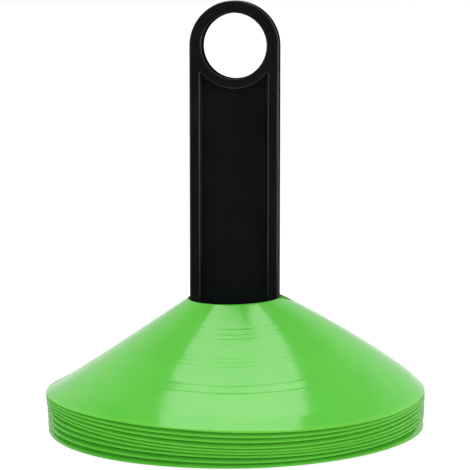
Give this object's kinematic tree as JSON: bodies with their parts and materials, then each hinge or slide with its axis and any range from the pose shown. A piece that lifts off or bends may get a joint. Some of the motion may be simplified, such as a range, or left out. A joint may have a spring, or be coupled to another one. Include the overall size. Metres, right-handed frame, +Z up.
{
  "type": "stack of disc marker cones on a carrier",
  "caption": "Low disc marker cones in soft green plastic, stacked over a flat black carrier with a finger ring, for marking lines on a sports field.",
  "frame": {"origin": "on the ground, below the middle of the carrier's foot", "axes": "+Z up along the carrier, +X to the right along its broad face, +Y away from the viewer"},
  "size_m": [0.2, 0.2, 0.225],
  "materials": {
    "cone_plastic": "soft green polyethylene, injection moulded with a glossy face",
    "carrier_plastic": "black polypropylene, injection moulded with a glossy face"
  },
  "bodies": {
    "carrier": {"carrier_upright": "carrier_plastic", "cross_foot": "carrier_plastic"},
    "cone_01": {"cone_01": "cone_plastic"},
    "cone_02": {"cone_02": "cone_plastic"},
    "cone_03": {"cone_03": "cone_plastic"},
    "cone_04": {"cone_04": "cone_plastic"},
    "cone_05": {"cone_05": "cone_plastic"},
    "cone_06": {"cone_06": "cone_plastic"},
    "cone_07": {"cone_07": "cone_plastic"},
    "cone_08": {"cone_08": "cone_plastic"},
    "cone_09": {"cone_09": "cone_plastic"}
  },
  "joints": [
    {"name": "cone_01_lift", "type": "slide", "parent": "carrier", "child": "cone_01", "axis": [0, 0, 1], "range_m": [0, 0.23]},
    {"name": "cone_02_lift", "type": "slide", "parent": "cone_01", "child": "cone_02", "axis": [0, 0, 1], "range_m": [0, 0.229]},
    {"name": "cone_03_lift", "type": "slide", "parent": "cone_02", "child": "cone_03", "axis": [0, 0, 1], "range_m": [0, 0.226]},
    {"name": "cone_04_lift", "type": "slide", "parent": "cone_03", "child": "cone_04", "axis": [0, 0, 1], "range_m": [0, 0.224]},
    {"name": "cone_05_lift", "type": "slide", "parent": "cone_04", "child": "cone_05", "axis": [0, 0, 1], "range_m": [0, 0.223]},
    {"name": "cone_06_lift", "type": "slide", "parent": "cone_05", "child": "cone_06", "axis": [0, 0, 1], "range_m": [0, 0.221]},
    {"name": "cone_07_lift", "type": "slide", "parent": "cone_06", "child": "cone_07", "axis": [0, 0, 1], "range_m": [0, 0.219]},
    {"name": "cone_08_lift", "type": "slide", "parent": "cone_07", "child": "cone_08", "axis": [0, 0, 1], "range_m": [0, 0.216]},
    {"name": "cone_09_lift", "type": "slide", "parent": "cone_08", "child": "cone_09", "axis": [0, 0, 1], "range_m": [0, 0.213]}
  ]
}
